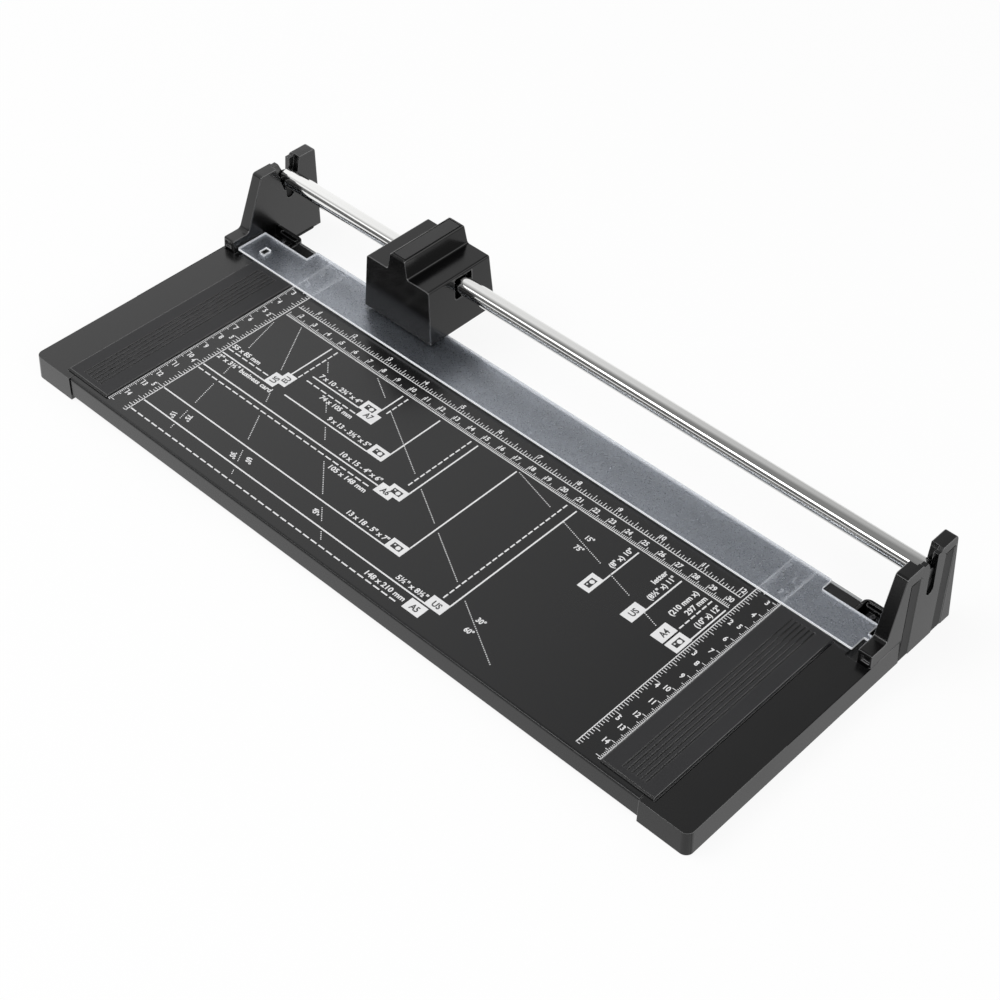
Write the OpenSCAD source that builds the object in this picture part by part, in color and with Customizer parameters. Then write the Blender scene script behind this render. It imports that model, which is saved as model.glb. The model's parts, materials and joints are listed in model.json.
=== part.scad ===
// Rolling paper trimmer for A4 sheets: a low table with printed scales between two end caps,
// whose posts carry a steel rail. A closed carriage slides along the rail and holds a round blade
// that shears against a fixed blade under the table's rear edge. The rail gives a little when it is
// pressed, and the clear strip in front of the cut then holds the sheet.
// X runs along the cut, +Y away from the user, +Z up. The origin is on the floor, at the middle
// of the footprint.

/* [Overall] */
// Width of the printed field, from one grip plate to the other
field_w = 321; // [280:1:440]
// How far the table reaches in front of the cutting edge
front_reach = 156; // [130:1:220]
// How far the end caps reach behind the cutting edge
rear_reach = 32.5; // [31:0.5:38]
// How far each end cap reaches beyond the printed field, at the floor
cap_reach = 51.5; // [50:0.5:52.5]
// Height of the table's upper face above the floor
deck_h = 14.5; // [14:0.5:20]

/* [Table sheet] */
// Thickness of the painted steel sheet
sheet_t = 1; // [0.8:0.1:1.4]
// How far the sheet's front stands back from the caps' fronts
sheet_setback = 0.7; // [0.3:0.1:1.5]
// Height of the front skirt
front_skirt_h = 12; // [9:0.5:13]
// Width of the hem along the bottom of the front skirt
hem_w = 8; // [4:0.5:14]
// Height of the rear skirt that carries the fixed blade
rear_skirt_h = 10.5; // [9.5:0.5:12]
// Outer radius of the front fold
fold_r = 1.5; // [1.2:0.1:2.5]

/* [Fixed blade] */
// Thickness of the fixed blade
fixed_blade_t = 1.5; // [1.2:0.1:2]
// Height of the fixed blade
fixed_blade_h = 9; // [8:0.5:10]
// Number of its screws
fixed_screw_count = 6; // [2:1:10]
// Depth of its screws below the cutting edge
fixed_screw_drop = 5.5; // [5:0.1:6]

/* [End caps] */
// Width of each cap, from its seam with the sheet to its outer side at the floor
cap_w = 27.5; // [27:0.5:29]
// Height of the caps' side walls below the table's face
cap_drop = 14; // [13:0.5:16]
// How far the outer side leans in from the floor to the top of the post
side_lean = 3.2; // [2:0.1:4]
// Radius of the caps' front corners
cap_corner_r = 4; // [2:0.5:8]
// Wall of the hollow underside
cap_wall = 2.2; // [1.8:0.1:3]
// Gap between the cap and the end of the sheet
seam_gap = 0.3; // [0.2:0.1:0.6]
// How far the flange reaches under the sheet
flange_reach = 16; // [13:0.5:20]
// Thickness of the flange
flange_t = 2.2; // [1.8:0.1:3]
// Width of the shadow groove beside each grip plate
shadow_w = 0.9; // [0.5:0.1:1.5]
// Depth of the shadow groove
shadow_d = 0.7; // [0.4:0.1:1.2]
// Number of ribs across the hollow underside
rib_count = 4; // [2:1:7]
// Thickness of these ribs
rib_t = 1.6; // [1.2:0.1:2.4]

/* [Posts] */
// Height of the posts above the table's face
post_rise = 38.5; // [37:0.5:42]
// Width of a post from its inner face at the table's height to the outer side at the floor
post_w = 8.5; // [8:0.1:9]
// How far the inner face leans in over the post's height
post_in_lean = 1.6; // [0:0.1:2]
// Distance of the foot's front from the cutting edge
foot_front = 31; // [30:0.5:33]
// Length of the foot in front of the post
foot_len = 11; // [9:0.5:13]
// Height of the foot above the table
foot_rise = 7; // [5:0.5:9]
// Distance of the post's upper front corner from the cutting edge
post_front_top = 10; // [8:0.5:13]
// Distance of the post's upper rear corner behind the cutting edge
post_rear_top = 28.3; // [25:0.1:30]
// Radius of the post's upper corners
post_top_r = 2; // [1:0.1:3]
// Width of the two shallow bands on the outer side
band_w = 7.5; // [4:0.5:8]
// Depth of these bands
band_d = 0.3; // [0.2:0.1:0.8]
// Width of the slot that shows from outside
slot_w = 5.5; // [5.4:0.1:6.5]
// Width of the cradle for the rail's end
cradle_w = 11; // [10.8:0.1:12]
// Height of the slot's bottom above the table
slot_z = 15.5; // [13:0.5:17]

/* [Grip plates] */
// Width of a grip plate
plate_w = 29; // [27:0.5:30]
// Height of a grip plate above the table
plate_h = 1.4; // [1.2:0.1:2]
// How far its front edge stands back from the caps' fronts
plate_setback = 4; // [3:0.5:30]
// Distance of its rear edge from the cutting edge
plate_rear = 29.4; // [29.2:0.1:40]
// Number of grooves along it
rib_groove_count = 6; // [3:1:8]
// Distance from one groove to the next
rib_groove_pitch = 2.4; // [1.8:0.1:2.6]
// Width of a groove
rib_groove_w = 0.9; // [0.5:0.1:1.2]
// Depth of a groove
rib_groove_d = 0.5; // [0.3:0.1:0.7]

/* [Rail] */
// Diameter of the steel rail
rail_d = 10; // [9:0.1:10]
// Diameter of the bores at its ends
bore_d = 6; // [4:0.1:7]
// Distance of the rail's axis behind the cutting edge
rail_y = 10.2; // [10:0.1:11]
// Height of the rail's axis above the table
rail_z = 27.7; // [27:0.1:28.5]

/* [Clamp strip] */
// Thickness of the clear strip
strip_t = 1.6; // [1.2:0.1:1.6]
// Height of its underside above the table, released
strip_lift = 0.7; // [0.6:0.1:0.7]
// Distance of its front edge from the cutting edge
strip_front = 28.6; // [24:0.1:28.8]
// Distance of its rear edge from the cutting edge
strip_rear = 1.2; // [1:0.1:2]
// Distance of the end tongues' rear edge from the cutting edge
tongue_rear = 9; // [8.5:0.1:10]

/* [Carriage] */
// Place of the carriage along the rail, from the middle
carriage_x = -97; // [-176:1:176]
// Half the carriage's length along the rail, at its lower edge
car_half = 23.8; // [23:0.1:24]
// How far each of its ends leans in up to the shoulders
car_end_lean = 1.95; // [1.4:0.05:2.4]
// Distance of its front face from the cutting edge
car_front = 14.5; // [13:0.1:18]
// Distance of its rear face's lower edge behind the cutting edge
car_rear = 32.6; // [31:0.1:36]
// How far its rear face leans in up to the shoulders
car_rear_lean = 3.2; // [2.4:0.1:4.2]
// Height of its lower edge above the table
car_lift = 3; // [3:0.1:3.5]
// Height of its shoulders above the table
shoulder_z = 35.8; // [35.6:0.1:38]
// Height of the handle's top above the table
handle_z = 46.3; // [44:0.1:50]
// Half the handle's width at its foot
handle_half_foot = 6.9; // [6.5:0.1:9]
// Half the handle's width at its top
handle_half_top = 5.1; // [4.8:0.1:6.5]
// Wall of the carriage's cover
car_wall = 2; // [1.6:0.1:2]

/* [Round blade] */
// Diameter of the round blade
blade_d = 28; // [27:0.5:28]
// Thickness of the round blade
blade_t = 0.5; // [0.3:0.1:0.6]
// Diameter of the hole in the blade
blade_bore_d = 8; // [7:0.5:9]
// How far the blade reaches below the table's face, released
blade_dip = 0.6; // [0.4:0.1:0.8]
// Diameter of the axle
axle_d = 4; // [3:0.1:4.5]

/* [Feet and fasteners] */
// Width of a rubber foot
pad_w = 6; // [4:0.5:6.5]
// Length of a rubber foot
pad_len = 18; // [10:0.5:20]
// Depth of its seat in the cap
pad_seat = 1; // [0.6:0.1:1.2]
// Diameter of the small screws' shanks
screw_d = 2.4; // [2:0.1:2.6]
// Diameter of their heads
screw_head_d = 5; // [4:0.1:5.4]

/* [Clearances] */
// Free play of a sliding piece in its guide
play = 0.3; // [0.2:0.05:0.4]
// Radial clearance of a running fit
run_fit = 0.05; // [0.02:0.01:0.08]
// Clearance between the round blade and the fixed blade
shear_gap = 0.1; // [0.06:0.01:0.15]

/* [Hidden] */
$fn = 64;

// One overrun serves all cuts
over = 1;
// Steps in each rounded corner of an outline
corner_steps = 5;

field_half = field_w / 2;
cut_y = (front_reach - rear_reach) / 2;
floor_u = field_half + cap_reach;
seam_u = floor_u - cap_w;
plate_u = field_half + plate_w;
post_u = floor_u - post_w;
lean_share = side_lean / (post_rise + cap_drop);
in_lean_share = post_in_lean / post_rise;
lean_angle = atan(lean_share);

sheet_front = front_reach - sheet_setback;
screw_r = screw_d / 2;
screw_head_r = screw_head_d / 2;
screw_head_h = 1.4;
screw_play = 0.2;

// Post and cradle
foot_r = 1;
foot_fillet_r = 2.6;
post_bottom_rear = rear_reach;
cradle_depth = 2.5;
cradle_u = post_u + cradle_depth;
mouth_front = 0.3;
mouth_rear = 17;
mouth_low = 22.5;
mouth_step = 1;
lip_front = 1.8;
lip_rear = 16.6;
lip_drop = 1.2;
lip_inner = 2;
funnel_low = 33;
nub_r = 0.9;
nub_len = 2.8;
band_front_top = -6.3;
band_rear_top = 19.4;
band_front_high = 32;
band_rear_high = 33.5;
band_shift = 2;
window_w = 4;
window_h = 3.4;
window_d = 1.2;
window_z = 1.6;

// Recess in front of the post's foot, and the open well behind the strip's tongue
pit_w = 0.9;
pit_d = 1.3;
pit_in = 5.5;
well_front = 13;
well_wall = 1.5;
well_rear = 2.5;
well_corner_r = 3.5;
well_floor = 7;
well_rim = 0.6;
loop_y = 0.4;
loop_len = 13;
loop_w = 3.2;
loop_wall = 0.7;
loop_rim = 0.3;
spring_seat = 2.2;

// Grip plate fixings
plate_chamfer = 0.6;
plate_boss_r = 2.4;
plate_front = front_reach - plate_setback;
plate_screw_in = 8;
plate_screw_u = seam_u - plate_screw_in;
plate_screw_inset = 14;
plate_screw_first = plate_rear + plate_screw_inset;
plate_screw_last = plate_front - plate_screw_inset;
plate_screw_count = 3;
plate_skin = 0.8;
rib_groove_front = 4;
rib_groove_rear = 3;
rib_groove_in = 8.4;

// Clamp strip
strip_z = strip_lift;
strip_left_notch = 9.9;
strip_right_notch = 7.4;
strip_left_gap = 0.8;
strip_right_gap = 4.6;
strip_left_u = post_u - strip_left_gap;
strip_right_u = post_u - strip_right_gap;
strip_corner_r = 0.6;
tongue_nub_w = 3;
tongue_nub_y = 18;
tongue_nub_len = 5.9;
peg_in = 12.8;
peg_u = post_u - peg_in;
peg_y = 20;
peg_w = 3;
peg_len = 4.2;
peg_play = 0.4;
peg_top = strip_z + strip_t - peg_play;

// Leaf spring under each tongue
leaf_t = 0.4;
leaf_w = 7;
leaf_tip = 12.4;
leaf_flat = 1.4;
leaf_base_rear = 2.6;
leaf_base_front = 6.4;
spring_screw_y = 4.5;
spring_in = 10;
spring_u = post_u - spring_in;
spring_head_h = 1;
spring_head_r = 1.7;

// Rubber buffer under each rail end
buffer_top = rail_z - rail_d / 2 - run_fit;
buffer_in = 0.5;

// Dark plug in each end of the rail, with a key that slides in the slot
key_recess = 1.2;
key_low = rail_z - rail_d / 2 + play;
key_high = rail_z + slot_w / 2;
plug_len = 10;

// Carriage
car_half_top = car_half - car_end_lean;
car_rear_top = car_rear - car_rear_lean;
car_round = 1.2;
handle_fillet = 1.4;
inlay_margin = 1.2;
inlay_depth = 1.2;
inlay_gap = 0.5;
inlay_end = 1.8;
window_gap_front = 1;
window_gap = 1.2;
window_r = 0.8;
carrier_z = 6.2;
carrier_t = 2.6;
carrier_gap = 4.6;
carrier_rear = car_rear - carrier_gap;
carrier_half = car_half_top - car_wall - play;
boss_r = 3.4;
boss_in = 5.6;
boss_margin = 1;
boss_x = carrier_half - boss_in;
boss_y = carrier_rear - boss_r - boss_margin;
bush_wall = 1;
bush_len = 8;
bush_x = carrier_half - bush_len / 2;
saddle_len = 7;
saddle_wall = 1.2;
saddle_top = 30;
axle_plate_t = 2.6;
axle_plate_front = 4.4;
axle_plate_inset = 6;
axle_plate_half = carrier_half - axle_plate_inset;
axle_plate_top = 20.4;

// Blade and axle
blade_r = blade_d / 2;
blade_z = blade_r - blade_dip;
axle_r = axle_d / 2;
bevel_in = 1.6;
edge_t = 0.08;
hub_r = 7;
hub_len = 3.2;
axle_head_r = 4;
axle_head_h = 2.2;
hex_key_r = 1.5;
washer_t = 0.2;
washer_r = 3.4;
washer_len = 0.4;
nut_af = 7;
nut_h = 2.8;

// Outer and inner planes of a cap's post at a height above the table
function outer_u(z) = floor_u - lean_share * (z + cap_drop);
function inner_u(z) = post_u - in_lean_share * z;

// Rear plane of the carriage at a height above the table
car_rear_share = (car_rear - car_rear_top) / (shoulder_z - car_lift);
function car_rear_y(z) = car_rear - car_rear_share * (z - car_lift);
// Side plane of the carriage at a height above the table
car_side_share = (car_half - car_half_top) / (shoulder_z - car_lift);
function car_side_x(z) = car_half - car_side_share * (z - car_lift);

// Outline with each corner rounded by its own radius
function unit(v) = v / norm(v);
function turn(d) = d > 180 ? d - 360 : (d < -180 ? d + 360 : d);
function corner(a, b, c, r) =
    r == 0 ? [b] :
    let (u = unit(a - b), v = unit(c - b), half = acos(u * v) / 2)
    let (mid = b + unit(u + v) * (r / sin(half)), p = b + u * (r / tan(half)) - mid)
    let (q = b + v * (r / tan(half)) - mid, start = atan2(p.y, p.x))
    let (sweep = turn(atan2(q.y, q.x) - start))
    [for (k = [0:corner_steps]) let (t = start + sweep * k / corner_steps) mid + r * [cos(t), sin(t)]];
function rounded(pts, radii) =
    let (n = len(pts))
    [for (i = [0:n - 1]) each corner(pts[(i + n - 1) % n], pts[i], pts[(i + 1) % n], radii[i])];

// Draws in the table's own frame: the cutting edge is its X axis, and its face is at Z = 0
module on_table() translate([0, cut_y, deck_h]) children();

// A (Y, Z) outline extruded from x0 to x1
module along_x(x0, x1) translate([x0, 0, 0]) rotate([90, 0, 90]) linear_extrude(x1 - x0) children();
// An (X, Z) outline extruded from y0 to y1
module along_y(y0, y1) translate([0, y1, 0]) rotate([90, 0, 0]) linear_extrude(y1 - y0) children();
// A box from its lowest corner to its highest
module block(a, b) translate(a) cube(b - a);
// A cylinder along Y from y0 to y1
module rod_y(r, y0, y1) translate([0, y0, 0]) rotate([-90, 0, 0]) cylinder(r = r, h = y1 - y0);
// A cylinder along X from x0 to x1
module rod_x(r, x0, x1) translate([x0, 0, 0]) rotate([0, 90, 0]) cylinder(r = r, h = x1 - x0);
// The same piece at both ends of the table
module both_ends() {
    children();
    mirror([1, 0, 0]) children();
}

// Table sheet
module sheet_outline() polygon(rounded([
    [-fixed_blade_t, 0], [-sheet_front, 0], [-sheet_front, -front_skirt_h],
    [-sheet_front + hem_w, -front_skirt_h], [-sheet_front + hem_w, -front_skirt_h + sheet_t],
    [-sheet_front + sheet_t, -front_skirt_h + sheet_t], [-sheet_front + sheet_t, -sheet_t],
    [-fixed_blade_t - sheet_t, -sheet_t], [-fixed_blade_t - sheet_t, -rear_skirt_h],
    [-fixed_blade_t, -rear_skirt_h]
], [0, fold_r, sheet_t, 0, 0, 0, fold_r - sheet_t, 0, 0, 0]));

module plate_screw_places() both_ends()
    for (i = [0:plate_screw_count - 1])
        translate([plate_screw_u,
            -plate_screw_first - (plate_screw_last - plate_screw_first) * i / (plate_screw_count - 1), 0])
            children();

module fixed_screw_places() for (i = [0:fixed_screw_count - 1])
    translate([-seam_u + 2 * seam_u * (i + 0.5) / fixed_screw_count, 0, -fixed_screw_drop]) children();

module table_sheet() color("#2b2b2d") on_table() difference() {
    along_x(-seam_u, seam_u) sheet_outline();
    plate_screw_places() translate([0, 0, -sheet_t - over])
        cylinder(r = plate_boss_r + screw_play, h = sheet_t + 2 * over);
    fixed_screw_places() rod_y(screw_r + screw_play, -fixed_blade_t - sheet_t - over, 0);
}

// Fixed blade and its countersunk screws
module fixed_blade() color("#c9ccd0") on_table() difference() {
    block([-seam_u + seam_gap, -fixed_blade_t, -fixed_blade_h], [seam_u - seam_gap, 0, 0]);
    fixed_screw_places() {
        rod_y(screw_r + screw_play, -fixed_blade_t - over, over);
        rotate([90, 0, 0]) cylinder(r1 = screw_r * 2, r2 = screw_r, h = screw_r);
    }
}

fixed_shank_r = screw_r - screw_play / 2;
module fixed_blade_screws() color("#8d9096") on_table() fixed_screw_places() {
    difference() {
        rotate([90, 0, 0]) cylinder(r1 = fixed_shank_r + screw_r, r2 = fixed_shank_r, h = screw_r);
        rod_y(screw_r / 2, -screw_r / 2, over);
    }
    rod_y(fixed_shank_r, -fixed_blade_t - sheet_t - screw_d, -screw_r / 2);
}

// End caps
module cap_lean() polygon([
    [seam_u + seam_gap, -cap_drop], [outer_u(-cap_drop), -cap_drop],
    [outer_u(0), 0], [seam_u + seam_gap, 0]
]);

module corner_relief()
    translate([floor_u - cap_corner_r / cos(lean_angle), -front_reach + cap_corner_r, -cap_drop])
    rotate([0, -lean_angle, 0]) difference() {
        translate([0, -2 * cap_corner_r, -over])
            cube([2 * cap_corner_r, 2 * cap_corner_r, cap_drop + 2 * over]);
        translate([0, 0, -2 * over]) cylinder(r = cap_corner_r, h = cap_drop + 4 * over);
    }

module base_block() difference() {
    along_y(-front_reach, 0) cap_lean();
    corner_relief();
    // Narrow recess in front of the foot, and the low floor between the foot and the strip
    block([post_u - pit_in, -foot_front - pit_w, -pit_d], [outer_u(0) - cap_wall / 2, -foot_front, over]);
    block([post_u - pit_in, -foot_front - over, -pit_d], [post_u + over, -well_front + over, over]);
}

// The post's side view, foot included
module post_outline() polygon(rounded([
    [-foot_front, -cap_drop], [-foot_front, foot_rise], [-foot_front + foot_len, foot_rise],
    [-post_front_top, post_rise], [post_rear_top, post_rise], [post_bottom_rear, -cap_drop]
], [0, foot_r, foot_fillet_r, post_top_r, post_top_r, 0]));

module post_block() intersection() {
    along_x(post_u - cap_corner_r, floor_u + over) post_outline();
    along_y(-front_reach, rear_reach + over) polygon([
        [inner_u(-cap_drop), -cap_drop], [outer_u(-cap_drop), -cap_drop],
        [outer_u(post_rise), post_rise], [inner_u(post_rise), post_rise]
    ]);
}

// The rail's seat: a wide cradle inside, with its mouth, and a narrow slot through the whole post
slot_front = rail_y - slot_w / 2;
slot_rear = rail_y + slot_w / 2;
cradle_low = rail_z - rail_d / 2 - play - slot_w / 4;
module cradle_cut() along_x(post_u - cap_corner_r, cradle_u) polygon([
    [slot_front, cradle_low], [slot_rear, cradle_low], [rail_y + cradle_w / 2, rail_z - slot_w / 2],
    [rail_y + cradle_w / 2, rail_z + slot_w / 2], [mouth_rear, post_rise],
    [mouth_rear, post_rise + over], [mouth_front, post_rise + over], [mouth_front, post_rise],
    [rail_y - cradle_w / 2 + mouth_step, mouth_low]
]);

module slot_cut() {
    along_x(post_u - cap_corner_r, floor_u + over) union() {
        translate([rail_y, slot_z + slot_w / 2]) circle(r = slot_w / 2);
        translate([slot_front, slot_z + slot_w / 2]) square([slot_w, funnel_low - slot_z - slot_w / 2]);
    }
    // The mouth of the outer wall, with a low lip at each side
    along_x(cradle_u - over, floor_u + over) polygon([
        [slot_front, funnel_low - over], [slot_rear, funnel_low - over], [slot_rear, post_rise - lip_drop],
        [lip_rear - lip_drop, post_rise - lip_drop], [lip_rear, post_rise], [lip_rear, post_rise + over],
        [lip_front, post_rise + over], [lip_front, post_rise],
        [lip_front + lip_drop / 2, post_rise - lip_drop], [slot_front - lip_inner, post_rise - lip_drop], [slot_front, funnel_low]
    ]);
}

// The small bump that keeps the rail's key from lifting out
module slot_nub() translate([0, slot_front, key_high + nub_r + play])
    rod_x(nub_r, cradle_u, cradle_u + nub_len);

module band(y_top, high) intersection() {
    along_x(post_u, floor_u + over) polygon([
        [y_top, high], [y_top + band_w, high],
        [y_top + band_w - band_shift, -cap_drop - over], [y_top - band_shift, -cap_drop - over]
    ]);
    along_y(-front_reach, rear_reach) polygon([
        [outer_u(-cap_drop - over) - band_d, -cap_drop - over],
        [outer_u(-cap_drop - over) + over, -cap_drop - over],
        [outer_u(post_rise) + over, post_rise], [outer_u(post_rise) - band_d, post_rise]
    ]);
}

// The hollow underside in front of the post, with its ribs and the seats' bosses
pocket_in = seam_u + seam_gap + cap_wall;
pocket_out = outer_u(-cap_drop) - cap_wall - side_lean / 2;
pocket_front = front_reach - cap_wall;
pocket_rear = foot_front + cap_wall;
pad_u = floor_u - pad_w / 2 - cap_wall;
pad_front_y = -front_reach + pad_len / 2 + 2 * cap_corner_r;
pad_rear_y = rear_reach - pad_len / 2 - cap_corner_r;

module underside_cut() difference() {
    block([pocket_in, -pocket_front, -cap_drop - over], [pocket_out, -pocket_rear, -cap_wall]);
    for (i = [1:rib_count])
        translate([0, -pocket_front + (pocket_front - pocket_rear) * i / (rib_count + 1), 0])
            block([pocket_in - over, -rib_t / 2, -cap_drop], [pocket_out + over, rib_t / 2, 0]);
    block([pad_u - pad_w / 2 - cap_wall, pad_front_y - pad_len / 2 - cap_wall, -cap_drop],
        [pocket_out + over, pad_front_y + pad_len / 2 + cap_wall, 0]);
}

// A rectangle with half-round ends
module stadium(w, l) union() {
    square([w, l - w], center = true);
    translate([0, (l - w) / 2]) circle(d = w);
    translate([0, -(l - w) / 2]) circle(d = w);
}

module pad_places() both_ends() {
    translate([pad_u, pad_front_y, -cap_drop]) children();
    translate([pad_u, pad_rear_y, -cap_drop]) children();
}

// The open well behind the strip's tongue
module well_block() difference() {
    translate([0, 0, -cap_drop]) linear_extrude(cap_drop + well_rim) polygon(rounded([
        [seam_u + seam_gap, -well_front], [post_u + over, -well_front],
        [post_u + over, well_rear], [seam_u + seam_gap, well_rear]
    ], [0, 0, 0, well_corner_r]));
    block([seam_u, -well_front - over, 0], [post_u + 2 * over, -well_rear, well_rim + over]);
}

module well_cut() difference() {
    block([seam_u + seam_gap + well_wall, -well_front, -well_floor],
        [post_u + cradle_depth, well_rear - well_wall, well_rim + over]);
    block([spring_u - leaf_w / 2 - play, -leaf_base_front, -well_floor - over],
        [spring_u + leaf_w / 2 + play, -loop_y, -spring_seat]);
    spring_loop();
}

// Raised loop behind the leaf spring
module spring_loop() translate([spring_u, -loop_y, -well_floor - over])
    linear_extrude(well_floor + over + loop_rim) rotate(90) difference() {
        stadium(loop_w, loop_len);
        stadium(loop_w - 2 * loop_wall, loop_len - 2 * loop_wall);
    }

module cap_body() difference() {
    union() {
        difference() {
            union() {
                base_block();
                post_block();
                well_block();
            }
            cradle_cut();
            slot_cut();
            well_cut();
            band(band_front_top, band_front_high);
            band(band_rear_top, band_rear_high);
            underside_cut();
        }
        slot_nub();
        block([seam_u - flange_reach, -plate_front, -sheet_t - flange_t],
            [seam_u + seam_gap + over, -2 * well_rear, -sheet_t]);
    }
    // Shadow groove beside the grip plate
    block([plate_u, -plate_front, -shadow_d], [plate_u + shadow_w, -plate_rear, over]);
    // Small window in the foot's front
    block([post_u + cap_wall, -foot_front - over, window_z],
        [post_u + cap_wall + window_w, -foot_front + window_d, window_z + window_h]);
    // Holes for the grip plate's screws
    plate_screw_places() translate([0, 0, -cap_drop])
        cylinder(r = screw_r + screw_play, h = cap_drop);
    // Seats of the rubber feet
    pad_places() translate([0, 0, -over]) linear_extrude(pad_seat + over) stadium(pad_w, pad_len);
    // Hole for the leaf spring's screw
    translate([spring_u, -spring_screw_y, -well_floor]) cylinder(r = screw_r, h = well_floor);
}

module left_end_cap() color("#1d1d1f") on_table() mirror([1, 0, 0]) {
    cap_body();
    // Square peg that keeps the strip in place
    block([peg_u - peg_w / 2, -peg_y - peg_len / 2, -over],
        [peg_u + peg_w / 2, -peg_y + peg_len / 2, peg_top]);
}

module right_end_cap() color("#1d1d1f") on_table() difference() {
    cap_body();
    // Pocket for the strip's end nub
    block([post_u - over, -tongue_nub_y - tongue_nub_w / 2 - play, -play],
        [strip_right_u + tongue_nub_len + play, -tongue_nub_y + tongue_nub_w / 2 + play,
            strip_z + strip_t + play]);
}

// Grip plates with fine grooves along them
module grip_plate() difference() {
    union() {
        along_y(-plate_front, -plate_rear) polygon([
            [field_half, 0], [plate_u, 0], [plate_u, plate_h - plate_chamfer / 2],
            [plate_u - plate_chamfer / 2, plate_h], [field_half + plate_chamfer / 2, plate_h],
            [field_half, plate_h - plate_chamfer / 2]
        ]);
        intersection() {
            plate_screw_places() translate([0, 0, -sheet_t])
                cylinder(r = plate_boss_r, h = sheet_t + plate_h - plate_skin);
            block([0, -plate_front, -sheet_t], [plate_u, -plate_rear, plate_h]);
        }
    }
    // Bevel along the front
    translate([0, -plate_front, plate_h]) rotate([45, 0, 0])
        block([0, -plate_chamfer, -plate_chamfer], [plate_u + over, plate_chamfer, plate_chamfer]);
    for (i = [0:rib_groove_count - 1])
        translate([plate_u - rib_groove_in - rib_groove_pitch * i, 0, 0])
            block([0, -plate_front + rib_groove_front, plate_h - rib_groove_d],
                [rib_groove_w, -plate_rear - rib_groove_rear, plate_h + over]);
    plate_screw_places() translate([0, 0, -sheet_t - over])
        cylinder(r = screw_r, h = sheet_t + over + plate_h - plate_skin);
}
module left_grip_plate() color("#242426") on_table() mirror([1, 0, 0]) grip_plate();
module right_grip_plate() color("#242426") on_table() grip_plate();

module grip_plate_screws() color("#8d9096") on_table() plate_screw_places()
    translate([0, 0, -sheet_t - flange_t]) difference() {
        union() {
            translate([0, 0, -screw_head_h]) cylinder(r = screw_head_r, h = screw_head_h);
            cylinder(r = screw_r - run_fit, h = flange_t + sheet_t + plate_h - plate_skin - play);
        }
        translate([0, 0, -screw_head_h - over]) cylinder(r = screw_r / 2, h = screw_head_h / 2 + over);
    }

module rubber_feet() color("#161616") on_table() pad_places()
    translate([0, 0, -(deck_h - cap_drop)]) linear_extrude(pad_seat + deck_h - cap_drop)
        stadium(pad_w, pad_len);

// Rubber buffers in the slots, under the rail's ends
module rail_buffer() along_x(post_u + buffer_in, key_end) union() {
    translate([rail_y, slot_z + slot_w / 2]) circle(r = slot_w / 2);
    translate([slot_front, slot_z + slot_w / 2]) square([slot_w, buffer_top - slot_z - slot_w / 2]);
}
module left_rail_buffer() color("#18181a") on_table() mirror([1, 0, 0]) rail_buffer();
module right_rail_buffer() color("#18181a") on_table() rail_buffer();

// Leaf springs that lift the strip
module clamp_spring() difference() {
    along_x(spring_u - leaf_w / 2, spring_u + leaf_w / 2) polygon([
        [-leaf_base_rear, -spring_seat], [-leaf_base_front, -spring_seat],
        [-leaf_tip + leaf_flat, strip_z - play - leaf_t], [-leaf_tip, strip_z - play - leaf_t],
        [-leaf_tip, strip_z - play], [-leaf_tip + leaf_flat, strip_z - play],
        [-leaf_base_front, -spring_seat + leaf_t], [-leaf_base_rear, -spring_seat + leaf_t]
    ]);
    translate([spring_u, -spring_screw_y, -spring_seat - over])
        cylinder(r = screw_r, h = leaf_t + 2 * over);
}
module left_clamp_spring() color("#3a3a3c") on_table() mirror([1, 0, 0]) clamp_spring();
module right_clamp_spring() color("#3a3a3c") on_table() clamp_spring();

module clamp_spring_screws() color("#8d9096") on_table() both_ends()
    translate([spring_u, -spring_screw_y, -spring_seat + leaf_t]) difference() {
        union() {
            cylinder(r1 = spring_head_r, r2 = spring_head_r - spring_head_h / 2, h = spring_head_h);
            translate([0, 0, -screw_d - leaf_t]) cylinder(r = screw_r - run_fit, h = screw_d + leaf_t);
        }
        translate([0, 0, spring_head_h / 2]) cylinder(r = screw_r / 2, h = spring_head_h);
    }

// Rail, bored at both ends
rail_half = cradle_u - 2 * play;
rail_chamfer = 0.5;
module guide_rail() color("#d4d6d8") on_table() translate([0, rail_y, rail_z]) {
    rotate([0, 90, 0]) rotate_extrude() polygon([
        [0, -rail_half + plug_len], [bore_d / 2, -rail_half + plug_len], [bore_d / 2, -rail_half],
        [rail_d / 2 - rail_chamfer, -rail_half], [rail_d / 2, -rail_half + rail_chamfer],
        [rail_d / 2, rail_half - rail_chamfer], [rail_d / 2 - rail_chamfer, rail_half],
        [bore_d / 2, rail_half], [bore_d / 2, rail_half - plug_len], [0, rail_half - plug_len]
    ]);
}

key_end = outer_u(rail_z) - key_recess;
module rail_plug() union() {
    translate([0, rail_y, rail_z]) rod_x(bore_d / 2 - run_fit, rail_half - plug_len + play, rail_half);
    along_x(rail_half, key_end) translate([rail_y, (key_low + key_high) / 2])
        stadium(slot_w - 2 * play, key_high - key_low);
}
module left_rail_plug() color("#1d1d1f") on_table() mirror([1, 0, 0]) rail_plug();
module right_rail_plug() color("#1d1d1f") on_table() rail_plug();

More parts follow.
